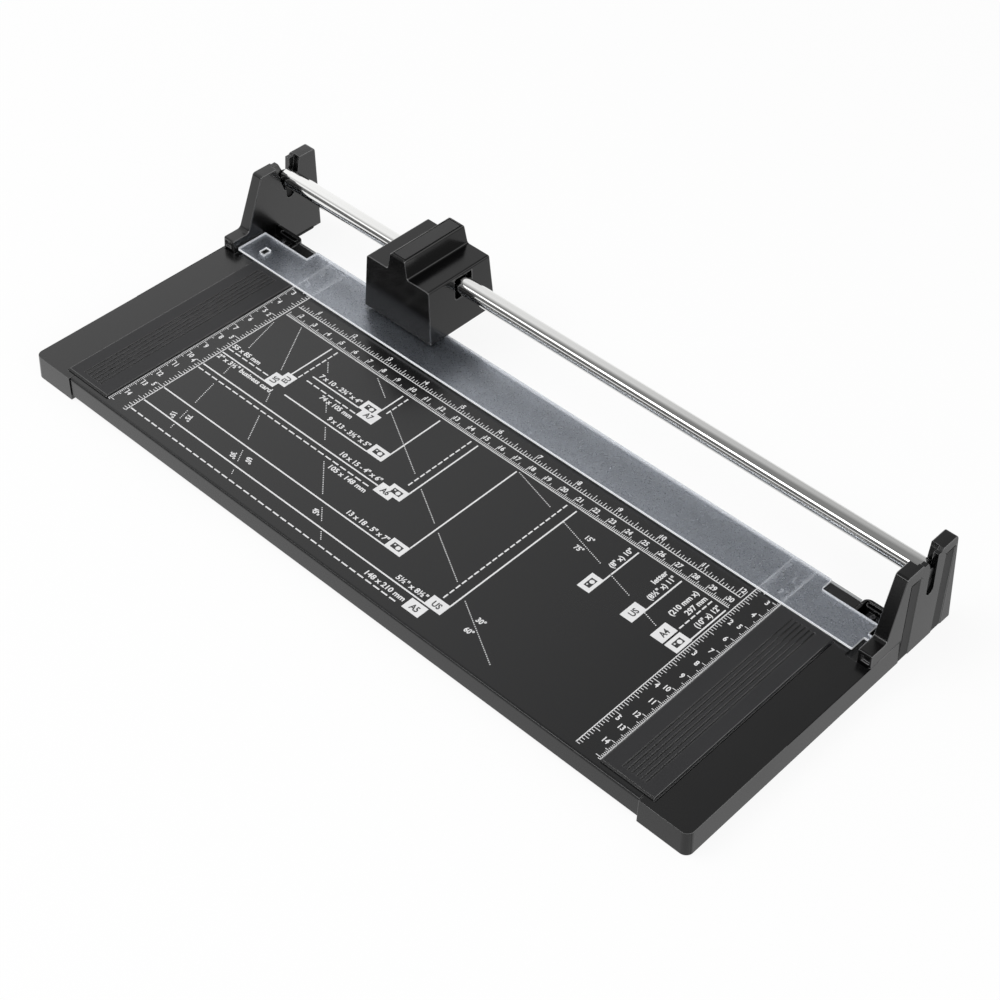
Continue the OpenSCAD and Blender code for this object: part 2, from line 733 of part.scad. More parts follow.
// Clear clamp strip
module strip_outline() difference() {
    polygon(rounded([
        [-strip_left_u, -strip_front], [strip_right_u, -strip_front],
        [strip_right_u, -tongue_nub_y - tongue_nub_w / 2],
        [strip_right_u + tongue_nub_len, -tongue_nub_y - tongue_nub_w / 2],
        [strip_right_u + tongue_nub_len, -tongue_nub_y + tongue_nub_w / 2],
        [strip_right_u, -tongue_nub_y + tongue_nub_w / 2],
        [strip_right_u, -tongue_rear], [field_half + strip_right_notch, -tongue_rear],
        [field_half + strip_right_notch, -strip_rear], [-field_half - strip_left_notch, -strip_rear],
        [-field_half - strip_left_notch, -tongue_rear], [-strip_left_u, -tongue_rear]
    ], [for (i = [0:11]) strip_corner_r]));
    translate([-peg_u, -peg_y]) square([peg_w + 2 * peg_play, peg_len + 2 * peg_play], center = true);
}
module clamp_strip() color([0.8, 0.83, 0.86, 0.5]) on_table() translate([0, 0, strip_z])
    linear_extrude(strip_t) strip_outline();

// Carriage
module at_carriage() on_table() translate([carriage_x, 0, 0]) children();

module car_front_view(wall) {
    foot = handle_half_foot - wall;
    top = handle_half_top - wall;
    z0 = car_lift - (wall > 0 ? over : 0);
    z1 = shoulder_z - wall;
    z2 = handle_z - wall - (wall > 0 ? inlay_depth : 0);
    polygon(rounded([
        [-car_side_x(z0) + wall, z0], [-car_side_x(z1) + wall, z1], [-foot, z1], [-top, z2],
        [top, z2], [foot, z1], [car_side_x(z1) - wall, z1], [car_side_x(z0) - wall, z0]
    ], wall > 0 ? [for (i = [0:7]) 0] :
        [0, car_round, handle_fillet, car_round, car_round, handle_fillet, car_round, 0]));
}
module car_side_view(wall) {
    z0 = car_lift - (wall > 0 ? over : 0);
    polygon(rounded([
        [-car_front + wall, z0], [-car_front + wall, handle_z],
        [car_rear_y(handle_z) - wall, handle_z], [car_rear_y(z0) - wall, z0]
    ], wall > 0 ? [0, 0, 0, 0] : [0, car_round, car_round, 0]));
}
module car_solid(wall) intersection() {
    along_y(-car_front - over, car_rear + over) car_front_view(wall);
    along_x(-car_half - over, car_half + over) car_side_view(wall);
}

inlay_half = handle_half_top - inlay_margin;
inlay_front = -car_front + inlay_end;
inlay_rear = car_rear_y(handle_z) - inlay_end;
boss_low = carrier_z + carrier_t;
window_front = rail_y - rail_d / 2 - window_gap_front;
window_rear = rail_y + rail_d / 2 + window_gap;
window_low = rail_z - rail_d / 2 - window_gap;
window_high = rail_z + rail_d / 2 + window_gap_front;

module boss_places() for (s = [-1, 1]) translate([s * boss_x, boss_y, 0]) children();

module carriage_cover() color("#232325") at_carriage() difference() {
    union() {
        difference() {
            car_solid(0);
            car_solid(car_wall);
        }
        // Screw bosses inside, at the rear
        intersection() {
            boss_places() translate([0, 0, boss_low])
                cylinder(r = boss_r, h = shoulder_z - boss_low - car_wall / 2);
            car_solid(car_wall / 2);
        }
    }
    // Windows for the rail
    along_x(-car_half - over, car_half + over) polygon(rounded([
        [window_front, window_low], [window_rear, window_low],
        [window_rear, window_high], [window_front, window_high]
    ], [2 * window_r, window_r, 0, window_r]));
    // Recess for the handle's inlay
    block([-inlay_half - inlay_gap, inlay_front - inlay_gap, handle_z - inlay_depth],
        [inlay_half + inlay_gap, inlay_rear + inlay_gap, handle_z + over]);
    boss_places() translate([0, 0, boss_low - over]) cylinder(r = screw_r, h = saddle_top - boss_low);
}

module handle_inlay() color("#2f2f31") at_carriage()
    translate([0, 0, handle_z - inlay_depth]) linear_extrude(inlay_depth) polygon(rounded([
        [-inlay_half, inlay_front], [inlay_half, inlay_front],
        [inlay_half, inlay_rear], [-inlay_half, inlay_rear]
    ], [inlay_gap, inlay_gap, inlay_gap, inlay_gap]));

bush_r = rail_d / 2 + bush_wall;
module blade_carrier() color("#3c3c3f") at_carriage() difference() {
    union() {
        // Two saddles for the glide bushes
        for (s = [-1, 1]) translate([s * bush_x, 0, 0])
            block([-saddle_len / 2, rail_y - bush_r - saddle_wall, carrier_z],
                [saddle_len / 2, rail_y + bush_r + saddle_wall, saddle_top]);
        // Plate that holds the axle
        block([-axle_plate_half, axle_plate_front, carrier_z],
            [axle_plate_half, axle_plate_front + axle_plate_t, axle_plate_top]);
        // Shelf that is screwed to the cover's bosses
        block([-carrier_half, axle_plate_front, carrier_z],
            [carrier_half, carrier_rear, carrier_z + carrier_t]);
        // Gusset behind the axle plate, at each side of the nut
        for (s = [-1, 1]) translate([s * nut_af, 0, 0]) along_x(-rib_t / 2, rib_t / 2) polygon([
            [axle_plate_front, carrier_z], [axle_plate_front + axle_plate_t, axle_plate_top - carrier_t],
            [rail_y + bush_r, carrier_z + carrier_t], [rail_y + bush_r, carrier_z]
        ]);
    }
    translate([0, rail_y, rail_z]) rod_x(bush_r, -car_half, car_half);
    block([-car_half, rail_y - bush_r, rail_z], [car_half, rail_y + bush_r, saddle_top + over]);
    translate([0, 0, blade_z]) rod_y(axle_r + run_fit, 0, carrier_rear);
    boss_places() translate([0, 0, carrier_z - over])
        cylinder(r = screw_r + screw_play, h = carrier_t + 2 * over);
}

module glide_bush() at_carriage() translate([0, rail_y, rail_z]) difference() {
    rod_x(bush_r, bush_x - bush_len / 2, bush_x + bush_len / 2);
    rod_x(rail_d / 2 + run_fit, bush_x - bush_len, bush_x + bush_len);
}
module right_glide_bush() color("#19191b") glide_bush();
module left_glide_bush() color("#19191b") translate([2 * carriage_x, 0, 0]) mirror([1, 0, 0]) glide_bush();

module carriage_screws() color("#8d9096") at_carriage() boss_places() translate([0, 0, carrier_z])
    difference() {
        union() {
            translate([0, 0, -screw_head_h]) cylinder(r = screw_head_r, h = screw_head_h);
            cylinder(r = screw_r - run_fit, h = carrier_t + 4 * screw_d);
        }
        translate([0, 0, -screw_head_h - over]) cylinder(r = screw_r / 2, h = screw_head_h / 2 + over);
    }

// Axle: head in front of the blade, shank through the hub and the carrier's plate
module blade_axle() color("#9b9ea3") at_carriage() translate([0, 0, blade_z]) difference() {
    union() {
        rod_y(axle_head_r, -shear_gap - axle_head_h, -shear_gap);
        rod_y(axle_r, -shear_gap, axle_plate_front + axle_plate_t + nut_h + screw_play);
    }
    rod_y(hex_key_r, -shear_gap - axle_head_h - over, -shear_gap - axle_head_h / 2);
}

// Cone-shaped spring washer that presses the hub forward
module spring_washer() color("#b7b9bd") at_carriage() translate([0, axle_plate_front - washer_len, blade_z])
    rotate([-90, 0, 0]) rotate_extrude() polygon([
        [axle_r + run_fit, 0], [washer_r, washer_len - washer_t],
        [washer_r, washer_len], [axle_r + run_fit, washer_t]
    ]);

module axle_nut() color("#9b9ea3") at_carriage() translate([0, 0, blade_z]) difference() {
    translate([0, axle_plate_front + axle_plate_t, 0]) rotate([-90, 0, 0])
        cylinder(r = nut_af / 2 / cos(30), h = nut_h, $fn = 6);
    rod_y(axle_r + run_fit, 0, carrier_rear);
}

// Round blade, flat in front and bevelled behind, and its hub
module round_blade() color("#cfd2d6") at_carriage() translate([0, shear_gap, blade_z])
    rotate([-90, 0, 0]) rotate_extrude() polygon([
        [blade_bore_d / 2, 0], [blade_r, 0], [blade_r, edge_t],
        [blade_r - bevel_in, blade_t], [blade_bore_d / 2, blade_t]
    ]);

module blade_hub() color("#d8d4c6") at_carriage() translate([0, shear_gap, blade_z])
    rotate([-90, 0, 0]) rotate_extrude() polygon([
        [axle_r + run_fit, 0], [blade_bore_d / 2 - run_fit, 0], [blade_bore_d / 2 - run_fit, blade_t],
        [hub_r, blade_t], [hub_r, blade_t + hub_len / 2], [hub_r - hub_len / 2, blade_t + hub_len],
        [axle_r + run_fit, blade_t + hub_len]
    ]);

table_sheet();
fixed_blade();
fixed_blade_screws();
left_end_cap();
right_end_cap();
left_grip_plate();
right_grip_plate();
grip_plate_screws();
rubber_feet();
left_rail_buffer();
right_rail_buffer();
left_clamp_spring();
right_clamp_spring();
clamp_spring_screws();
guide_rail();
left_rail_plug();
right_rail_plug();
clamp_strip();
carriage_cover();
handle_inlay();
blade_carrier();
left_glide_bush();
right_glide_bush();
carriage_screws();
blade_axle();
spring_washer();
axle_nut();
round_blade();
blade_hub();
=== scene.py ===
import json
import math

import bmesh
import bpy
from mathutils import Matrix, Vector


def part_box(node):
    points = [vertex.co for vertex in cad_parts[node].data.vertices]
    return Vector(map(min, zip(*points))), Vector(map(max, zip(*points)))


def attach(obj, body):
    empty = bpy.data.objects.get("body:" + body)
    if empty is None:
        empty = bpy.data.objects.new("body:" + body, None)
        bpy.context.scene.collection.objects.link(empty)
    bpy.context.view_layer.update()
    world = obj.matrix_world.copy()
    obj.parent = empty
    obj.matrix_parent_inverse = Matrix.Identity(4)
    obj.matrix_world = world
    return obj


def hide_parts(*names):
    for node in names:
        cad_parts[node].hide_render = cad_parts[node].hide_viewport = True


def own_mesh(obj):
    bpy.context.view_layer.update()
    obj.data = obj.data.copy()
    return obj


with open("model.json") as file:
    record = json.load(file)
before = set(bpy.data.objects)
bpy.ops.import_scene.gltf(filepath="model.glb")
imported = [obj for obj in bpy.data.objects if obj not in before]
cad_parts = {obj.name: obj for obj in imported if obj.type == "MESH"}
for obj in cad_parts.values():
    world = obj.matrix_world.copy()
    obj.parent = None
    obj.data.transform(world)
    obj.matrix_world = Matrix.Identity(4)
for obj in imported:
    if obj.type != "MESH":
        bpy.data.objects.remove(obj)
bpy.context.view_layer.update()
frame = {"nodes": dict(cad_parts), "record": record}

# Millimetres are written as numbers and turned into metres by this factor
MM = 0.001
INCH = 25.4

# Places read from the frame: the table's face, the cutting edge and the printed field's left side
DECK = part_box("table_sheet")[1].z
CUT_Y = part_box("fixed_blade")[1].y
FIELD_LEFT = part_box("left_grip_plate")[1].x
FIELD_WIDTH = (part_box("right_grip_plate")[0].x - FIELD_LEFT) / MM

# Thickness of one layer of screen print, in millimetres
INK = 0.012

# How strongly the clear strip's plastic bends light
PLASTIC_IOR = 1.49


# Materials

class Wire:
    """One output of a node. Arithmetic on it adds Math nodes."""

    def __init__(self, finish, socket):
        self.finish = finish
        self.socket = socket

    def _math(self, operation, *values):
        settings = {"operation": operation}
        return self.finish.node("ShaderNodeMath", settings, dict(enumerate(values))).out(0)

    def __add__(self, other):
        return self._math("ADD", self, other)

    __radd__ = __add__

    def __sub__(self, other):
        return self._math("SUBTRACT", self, other)

    def __rsub__(self, other):
        return self._math("SUBTRACT", other, self)

    def __mul__(self, other):
        return self._math("MULTIPLY", self, other)

    __rmul__ = __mul__

    def clamped(self):
        """The value kept between 0 and 1."""
        settings = {"operation": "MULTIPLY", "use_clamp": True}
        return self.finish.node("ShaderNodeMath", settings, {0: self, 1: 1.0}).out(0)


class Placed:
    """A node in a tree, with its outputs by name or number."""

    def __init__(self, finish, node):
        self.finish = finish
        self.node = node

    def out(self, key):
        return Wire(self.finish, self.node.outputs[key])


class Finish:
    """A material and its node tree, built around one Principled shader."""

    def __init__(self, name, tree=None, **constants):
        self.material = None
        if tree is None:
            self.material = bpy.data.materials.new(name)
            self.material.use_nodes = True
            tree = self.material.node_tree
        self.tree = tree
        self.shader = tree.nodes.get("Principled BSDF")
        for key, value in constants.items():
            self.shader.inputs[key.replace("_", " ")].default_value = value

    def node(self, kind, settings=None, values=None):
        """Adds a node and sets its settings, then its sockets: Wires are linked, numbers stored."""
        node = self.tree.nodes.new(kind)
        for key, value in (settings or {}).items():
            if key == "stops":
                while len(node.color_ramp.elements) > 1:
                    node.color_ramp.elements.remove(node.color_ramp.elements[-1])
                node.color_ramp.elements[0].position, first = value[0]
                node.color_ramp.elements[0].color = (first, first, first, 1)
                for place, level in value[1:]:
                    node.color_ramp.elements.new(place).color = (level, level, level, 1)
            else:
                setattr(node, key, value)
        for key, value in (values or {}).items():
            if isinstance(value, Wire):
                self.tree.links.new(value.socket, node.inputs[key])
            else:
                node.inputs[key].default_value = value
        return Placed(self, node)

    def feed(self, socket, wire):
        """Links a wire to one of the shader's sockets."""
        self.tree.links.new(wire.socket, self.shader.inputs[socket])

    def place(self):
        """Object coordinates, in metres."""
        return self.node("ShaderNodeTexCoord").out("Object")

    def stretched(self, x, y, z):
        """Object coordinates scaled along each axis."""
        values = {"Vector": self.place(), "Scale": (x, y, z)}
        return self.node("ShaderNodeMapping", None, values).out(0)

    def noise(self, scale, detail=3.0, roughness=0.5, vector=None):
        """A noise value around 0.5."""
        return self.node("ShaderNodeTexNoise", {"noise_dimensions": "3D"}, {
            "Vector": vector or self.place(), "Scale": scale, "Detail": detail, "Roughness": roughness,
        }).out(0)

    def blend(self, low, high, share):
        """A colour between low and high."""
        return self.node(
            "ShaderNodeMix", {"data_type": "RGBA", "clamp_factor": True},
            {0: share, 6: (*low, 1), 7: (*high, 1)},
        ).out(2)

    def ramp(self, value, stops):
        """A level read off a ramp. Each stop is a place from 0 to 1 and the level there."""
        return self.node("ShaderNodeValToRGB", {"stops": stops}, {0: value}).out(0)

    def bump(self, height, strength, distance):
        """Feeds a height in as surface relief; distance is in metres."""
        self.feed("Normal", self.node(
            "ShaderNodeBump", None, {"Height": height, "Strength": strength, "Distance": distance}
        ).out(0))


def painted_sheet():
    """Satin charcoal paint with a fine grain."""
    f = Finish("painted_sheet")
    cloud = f.noise(14.0, 4.0)
    grain = f.noise(2600.0, 2.0)
    f.feed("Base Color", f.blend((0.0036, 0.0037, 0.0040), (0.0052, 0.0053, 0.0057), cloud))
    f.feed("Roughness", 0.24 + (cloud - 0.5) * 0.10 + (grain - 0.5) * 0.08)
    f.bump(grain, 0.2, 0.00003)
    return f.material


def dark_plastic(name, base, roughness, grain_size, relief, shine=0.5, coat=0.0):
    """Black moulded plastic: a spark-eroded grain, and slow changes where hands have rubbed it."""
    f = Finish(name)
    f.shader.inputs["Specular IOR Level"].default_value = shine
    f.shader.inputs["Coat Weight"].default_value = coat
    rubbed = f.noise(25.0, 3.0)
    grain = f.noise(grain_size, 3.0, 0.6)
    low, high = base * 0.8, base * 1.2
    f.feed("Base Color", f.blend((low, low, low * 1.05), (high, high, high * 1.05), rubbed))
    f.feed("Roughness", roughness + (rubbed - 0.5) * 0.12 + (grain - 0.5) * 0.1)
    f.bump(grain, relief, 0.00004)
    return f.material


def polished_rail():
    """Centreless-ground steel: fine rings round the bar and long faint rub marks from the bushes."""
    f = Finish("polished_rail", Metallic=1.0)
    rings = f.noise(1.0, 2.0, 0.5, f.stretched(2500.0, 20.0, 20.0))
    rubs = f.noise(1.0, 3.0, 0.5, f.stretched(4.0, 700.0, 700.0))
    f.feed("Base Color", f.blend((0.72, 0.72, 0.71), (0.80, 0.80, 0.79), rubs))
    f.feed("Roughness", 0.09 + (rings - 0.5) * 0.04 + (rubs - 0.5) * 0.04)
    return f.material


def ground_blade():
    """Tool steel with grinding marks."""
    f = Finish("ground_blade", Metallic=1.0)
    marks = f.noise(1.0, 4.0, 0.6, f.stretched(60.0, 4000.0, 4000.0))
    f.feed("Base Color", f.blend((0.55, 0.56, 0.57), (0.68, 0.69, 0.70), marks))
    f.feed("Roughness", 0.26 + (marks - 0.5) * 0.2)
    f.bump(marks, 0.1, 0.00001)
    return f.material


def zinc_plate():
    """Zinc-plated screws, a little blotchy."""
    f = Finish("zinc_plate", Metallic=1.0)
    blotch = f.noise(700.0, 3.0)
    f.feed("Base Color", f.blend((0.46, 0.47, 0.49), (0.62, 0.62, 0.61), blotch))
    f.feed("Roughness", 0.3 + (blotch - 0.5) * 0.25)
    return f.material


def spring_steel():
    """Blued spring steel with a thin oil film."""
    f = Finish("spring_steel", Metallic=1.0)
    streak = f.noise(1.0, 3.0, 0.5, f.stretched(1500.0, 150.0, 150.0))
    f.feed("Base Color", f.blend((0.05, 0.05, 0.055), (0.12, 0.12, 0.125), streak))
    f.feed("Roughness", 0.26 + (streak - 0.5) * 0.2)
    return f.material


def frosted_clear():
    """Clear plastic with a fine frost on its faces, which throws back light like a dull mirror."""
    f = Finish("frosted_clear", IOR=PLASTIC_IOR, Metallic=0.54, Transmission_Weight=0.9)
    cloud = f.noise(30.0, 3.0)
    frost = f.noise(1400.0, 2.0)
    f.feed("Base Color", f.blend((0.64, 0.69, 0.79), (0.78, 0.84, 0.94), frost))
    f.feed("Roughness", 0.33 + (cloud - 0.5) * 0.1 + (frost - 0.5) * 0.2)
    f.feed("Alpha", 0.34 + (frost - 0.5) * 0.35)
    f.bump(frost, 0.2, 0.00002)
    return f.material


def strip_edge():
    """The strip's cut edges, with a painted glow standing in for the light they gather."""
    f = Finish("strip_edge", IOR=PLASTIC_IOR, Emission_Strength=0.22)
    marks = f.noise(900.0, 3.0)
    f.feed("Base Color", f.blend((0.80, 0.82, 0.85), (0.93, 0.94, 0.96), marks))
    # The emission is a painted glow, not a lamp
    f.feed("Emission Color", f.blend((0.80, 0.84, 0.90), (1.0, 1.0, 1.0), marks))
    f.feed("Roughness", 0.3 + (marks - 0.5) * 0.2)
    return f.material


def rubber():
    """Dull black rubber."""
    f = Finish("rubber")
    f.shader.inputs["Specular IOR Level"].default_value = 0.3
    grain = f.noise(1200.0, 3.0)
    f.feed("Base Color", f.blend((0.008, 0.008, 0.008), (0.014, 0.014, 0.014), grain))
    f.feed("Roughness", 0.72 + (grain - 0.5) * 0.2)
    f.bump(grain, 0.3, 0.00006)
    return f.material


def natural_acetal():
    """Off-white bearing plastic."""
    f = Finish("natural_acetal")
    cloud = f.noise(180.0, 3.0)
    f.feed("Base Color", f.blend((0.66, 0.63, 0.55), (0.76, 0.74, 0.67), cloud))
    f.feed("Roughness", 0.38 + (cloud - 0.5) * 0.12)
    return f.material


def white_ink():
    """Screen-printed white, very slightly uneven."""
    f = Finish("white_ink")
    cloud = f.noise(160.0, 4.0)
    f.feed("Base Color", f.blend((0.66, 0.66, 0.67), (0.76, 0.76, 0.76), cloud))
    f.feed("Roughness", 0.5 + (cloud - 0.5) * 0.1)
    return f.material


def dark_ink():
    """The dark letters inside the white labels."""
    f = Finish("dark_ink")
    cloud = f.noise(160.0, 4.0)
    f.feed("Base Color", f.blend((0.015, 0.015, 0.016), (0.025, 0.025, 0.026), cloud))
    f.feed("Roughness", 0.5 + (cloud - 0.5) * 0.1)
    return f.material


MATERIALS = {
    "painted_sheet": painted_sheet(),
    "moulded_black": dark_plastic("moulded_black", 0.0026, 0.23, 1900.0, 0.35),
    # Rougher, darker black: the caps' textured bands, and painted shade on the grip plates' sides and
    # groove floors
    "band_texture_and_painted_shade_black": dark_plastic("band_texture_and_painted_shade_black", 0.002, 0.55, 1300.0, 0.6),
    "carriage_black": dark_plastic("carriage_black", 0.0012, 0.17, 3000.0, 0.2, shine=0.34),
    "grip_black": dark_plastic("grip_black", 0.023, 0.55, 2200.0, 0.3, shine=0.25),
    # Lighter, glossier black for softened edges: a painted highlight
    "edge_highlight_black": dark_plastic("edge_highlight_black", 0.012, 0.14, 1200.0, 0.1, shine=1.0, coat=0.6),
    "handle_black": dark_plastic("handle_black", 0.006, 0.42, 1500.0, 0.3),
    "black_acetal": dark_plastic("black_acetal", 0.002, 0.3, 900.0, 0.1),
    "polished_rail": polished_rail(),
    "ground_blade": ground_blade(),
    "zinc_plate": zinc_plate(),
    "spring_steel": spring_steel(),
    "frosted_clear": frosted_clear(),
    "strip_edge": strip_edge(),
    "rubber": rubber(),
    "natural_acetal": natural_acetal(),
    "white_ink": white_ink(),
    "dark_ink": dark_ink(),
}


# Meshes

# Faces that turn less than FLAT lie in one plane, those that turn less than SMOOTH shade as one
# surface, and edges that turn more than SHARP are softened
FLAT = math.radians(0.5)
SMOOTH = math.radians(35)
SHARP = math.radians(34)

# Points nearer than these are one point: in a CAD node, on a cut through it, and in the print
NODE_MERGE = 0.002 * MM
CUT_MERGE = 0.0001 * MM
PRINT_MERGE = 0.0005 * MM

# The angle that an edge with a single face is taken to turn by, so that it never counts as flat
OPEN_EDGE = 9


def new_piece(name, bm, body, materials):
    """Makes an object from a bmesh, with smooth faces between sharp edges, and puts it on a body."""
    mesh = bpy.data.meshes.new(name)
    bm.to_mesh(mesh)
    bm.free()
    mesh.shade_smooth()
    mesh.set_sharp_from_angle(angle=SMOOTH)
    for material in materials:
        mesh.materials.append(MATERIALS[material])
    piece = bpy.data.objects.new(name, mesh)
    bpy.context.scene.collection.objects.link(piece)
    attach(piece, body)
    return piece


def body_of(node):
    """The body that carries a CAD node."""
    for body, members in frame["record"]["behaviour"]["bodies"].items():
        if node in members:
            return body
    raise ValueError(node)


def flat_regions(bm):
    """The connected groups of faces that lie in one plane, in the order of the faces."""
    free = dict.fromkeys(bm.faces)
    groups = []
    while free:
        search = [next(iter(free))]
        del free[search[0]]
        region = []
        while search:
            face = search.pop()
            region.append(face)
            for edge in face.edges:
                for other in edge.link_faces:
                    if other in free and edge.calc_face_angle(OPEN_EDGE) < FLAT:
                        del free[other]
                        search.append(other)
        groups.append(region)
    return groups


def rims(region):
    """The closed rims of a flat region, each a list of points; the widest is first."""
    inside = set(region)
    edges = dict.fromkeys(
        e for f in region for e in f.edges
        if sum(other in inside for other in e.link_faces) == 1
    )
    found = []
    while edges:
        search = [next(iter(edges))]
        del edges[search[0]]
        points = {}
        while search:
            for vert in search.pop().verts:
                points[vert] = vert.co.copy()
                for other in vert.link_edges:
                    if other in edges:
                        del edges[other]
                        search.append(other)
        found.append(list(points.values()))
    found.sort(key=lambda rim: -max((a - rim[0]).length for a in rim))
    return found


def open_holes(bm):
    """Cuts each flat region through the middle of each hole, so that no face needs a bridge."""
    axes = (Vector((1, 0, 0)), Vector((0, 1, 0)), Vector((0, 0, 1)))
    for region in flat_regions(bm):
        holes = rims(region)[1:] if len(region) > 2 else []
        faces = region
        for hole in holes:
            middle = sum(hole, Vector()) / len(hole)
            reach = max(hole, key=lambda p: (p - middle).length) - middle
            along = max(axes, key=lambda a: abs(a.dot(reach)))
            verts = dict.fromkeys(v for f in faces for v in f.verts)
            edges = dict.fromkeys(e for f in faces for e in f.edges)
            cut = bmesh.ops.bisect_plane(
                bm, geom=[*verts, *edges, *faces], dist=CUT_MERGE, plane_co=middle,
                plane_no=along, use_snap_center=False, clear_outer=False, clear_inner=False,
            )
            faces = [g for g in cut["geom"] if isinstance(g, bmesh.types.BMFace)]
            for part in cut["geom_cut"]:
                if isinstance(part, bmesh.types.BMEdge):
                    part.seam = True


def merged(node):
    """A bmesh copy of a CAD node, with its doubles merged and its flat faces joined."""
    bm = bmesh.new()
    bm.from_mesh(frame["nodes"][node].data)
    bmesh.ops.remove_doubles(bm, verts=bm.verts, dist=NODE_MERGE)
    open_holes(bm)
    bmesh.ops.dissolve_limit(
        bm, angle_limit=FLAT, use_dissolve_boundaries=False, verts=bm.verts, edges=bm.edges,
        delimit={"SEAM"},
    )
    return bm


def soften(bm, edge, segments, where=lambda place: True):
    """Rounds the sharp edges whose middles where() accepts, by edge millimetres.

    Gives the new faces.
    """
    sharp = [
        e for e in bm.edges
        if e.is_manifold and e.calc_face_angle() > SHARP
        and where((e.verts[0].co + e.verts[1].co) / 2)
    ]
    return bmesh.ops.bevel(
        bm, geom=sharp, offset=edge * MM, offset_type="OFFSET", affect="EDGES",
        segments=segments, profile=0.5, material=-1, clamp_overlap=False, loop_slide=True,
    )["faces"]


def dressed(node, materials, edges, choose=None):
    """A copy of a CAD node that stands for it, with softened edges.

    edges lists what soften() is told. choose() picks a finish for each face that isn't on an edge.
    The softened edges of the finishes listed for edge highlights take a lighter, glossier finish: a
    painted highlight.
    """
    bm = merged(node)
    # Slot for the edges' lighter, glossier finish, a painted highlight; 0 where the finish gets none
    rubbed = len(materials) if materials[0] in EDGE_HIGHLIGHT_FINISHES else 0
    for edge in edges:
        for face in soften(bm, *edge):
            face.material_index = rubbed
    if rubbed:
        materials = [*materials, "edge_highlight_black"]
    if choose:
        for face in bm.faces:
            if face.material_index == 0:
                face.material_index = choose(face)
    piece = new_piece(node + "_dressed", bm, body_of(node), materials)
    normals = piece.modifiers.new("face weights", "WEIGHTED_NORMAL")
    normals.keep_sharp = True
    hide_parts(node)
    return piece


# Finishes whose softened edges get a lighter, glossier finish: a painted highlight
EDGE_HIGHLIGHT_FINISHES = ("painted_sheet", "moulded_black", "carriage_black", "grip_black")

# Which finish and how soft an edge each plainly finished CAD node gets, in millimetres
DRESS = {
    "table_sheet": ("painted_sheet", 0.18),
    "fixed_blade": ("ground_blade", 0),
    "fixed_blade_screws": ("zinc_plate", 0),
    "grip_plate_screws": ("zinc_plate", 0.15),
    "rubber_feet": ("rubber", 0.2),
    "left_rail_buffer": ("rubber", 0.15),
    "right_rail_buffer": ("rubber", 0.15),
    "left_clamp_spring": ("spring_steel", 0),
    "right_clamp_spring": ("spring_steel", 0),
    "clamp_spring_screws": ("spring_steel", 0.1),
    "guide_rail": ("polished_rail", 0),
    "left_rail_plug": ("black_acetal", 0.2),
    "right_rail_plug": ("black_acetal", 0.2),
    "carriage_cover": ("carriage_black", 0.45),
    "handle_inlay": ("handle_black", 0.2),
    "blade_carrier": ("moulded_black", 0.15),
    "left_glide_bush": ("black_acetal", 0.12),
    "right_glide_bush": ("black_acetal", 0.12),
    "carriage_screws": ("zinc_plate", 0.15),
    "blade_axle": ("zinc_plate", 0.2),
    "spring_washer": ("spring_steel", 0),
    "axle_nut": ("zinc_plate", 0.2),
    "round_blade": ("ground_blade", 0),
    "blade_hub": ("natural_acetal", 0.15),
}

# Softened edges, in millimetres, and in how many steps a wide or a narrow one is rounded
POST_EDGE = 0.55
CAP_EDGE = 0.2
PLATE_EDGE = 0.14
STRIP_EDGE = 0.2
WIDE_STEPS = 3
NARROW_STEPS = 2

# The caps' outer sides, in millimetres: half their width at the foot, how far they lean in over
# which height, where they start above the floor, and the depth of the two bands
SIDE_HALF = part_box("right_end_cap")[1].x / MM
SIDE_LEAN = 3.2 / 52.5
SIDE_LOW = 0.5
BAND_DEPTH = 0.3
BAND_PLAY = 0.1

# Posts start this far above the table's face, and the rail's mouth lies between these distances
# behind the cut, in millimetres
POST_START = 1.5
MOUTH_FRONT = -1
MOUTH_BACK = 20

# A grip plate's upper face, and how far below it, in millimetres, the floor of a groove is
PLATE_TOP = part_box("left_grip_plate")[1].z
GROOVE_DROP = 0.15

# Shares of a face's normal: a side looks along X, a top looks up, and an upright edge doesn't
FACES_SIDE = 0.9
FACES_UP = 0.5
UPRIGHT = 0.8


def on_post(place):
    """Whether a place is on a post, away from the rail's mouth."""
    back = (place.y - CUT_Y) / MM
    return place.z > DECK + POST_START * MM and (back < MOUTH_FRONT or back > MOUTH_BACK)


def in_band(face):
    """1 for the floors of the bands on a cap's outer side."""
    middle = face.calc_center_median() / MM
    side = SIDE_HALF - SIDE_LEAN * (middle.z - SIDE_LOW)
    depth = side - abs(middle.x)
    return int(abs(face.normal.x) > FACES_SIDE and abs(depth - BAND_DEPTH) < BAND_PLAY)


def off_the_top(face):
    """1 for a grip plate's sides and the floors of its grooves, which take a darker finish as painted
    shade.
    """
    low = face.calc_center_median().z < PLATE_TOP - GROOVE_DROP * MM
    return int(face.normal.z < FACES_UP or low)


def on_edge(face):
    """1 for the upright edges of the clear strip, which take the painted glow."""
    return int(abs(face.normal.z) < UPRIGHT)


# Pieces that flatten toward their foot, which here only get a mesh of their own: the joint that
# presses them, and by how many millimetres
PRESSED = {
    "left_rail_buffer": ("rail_press", 0.9),
    "right_rail_buffer": ("rail_press", 0.9),
    "left_clamp_spring": ("clamp_press", 0.5),
    "right_clamp_spring": ("clamp_press", 0.5),
}


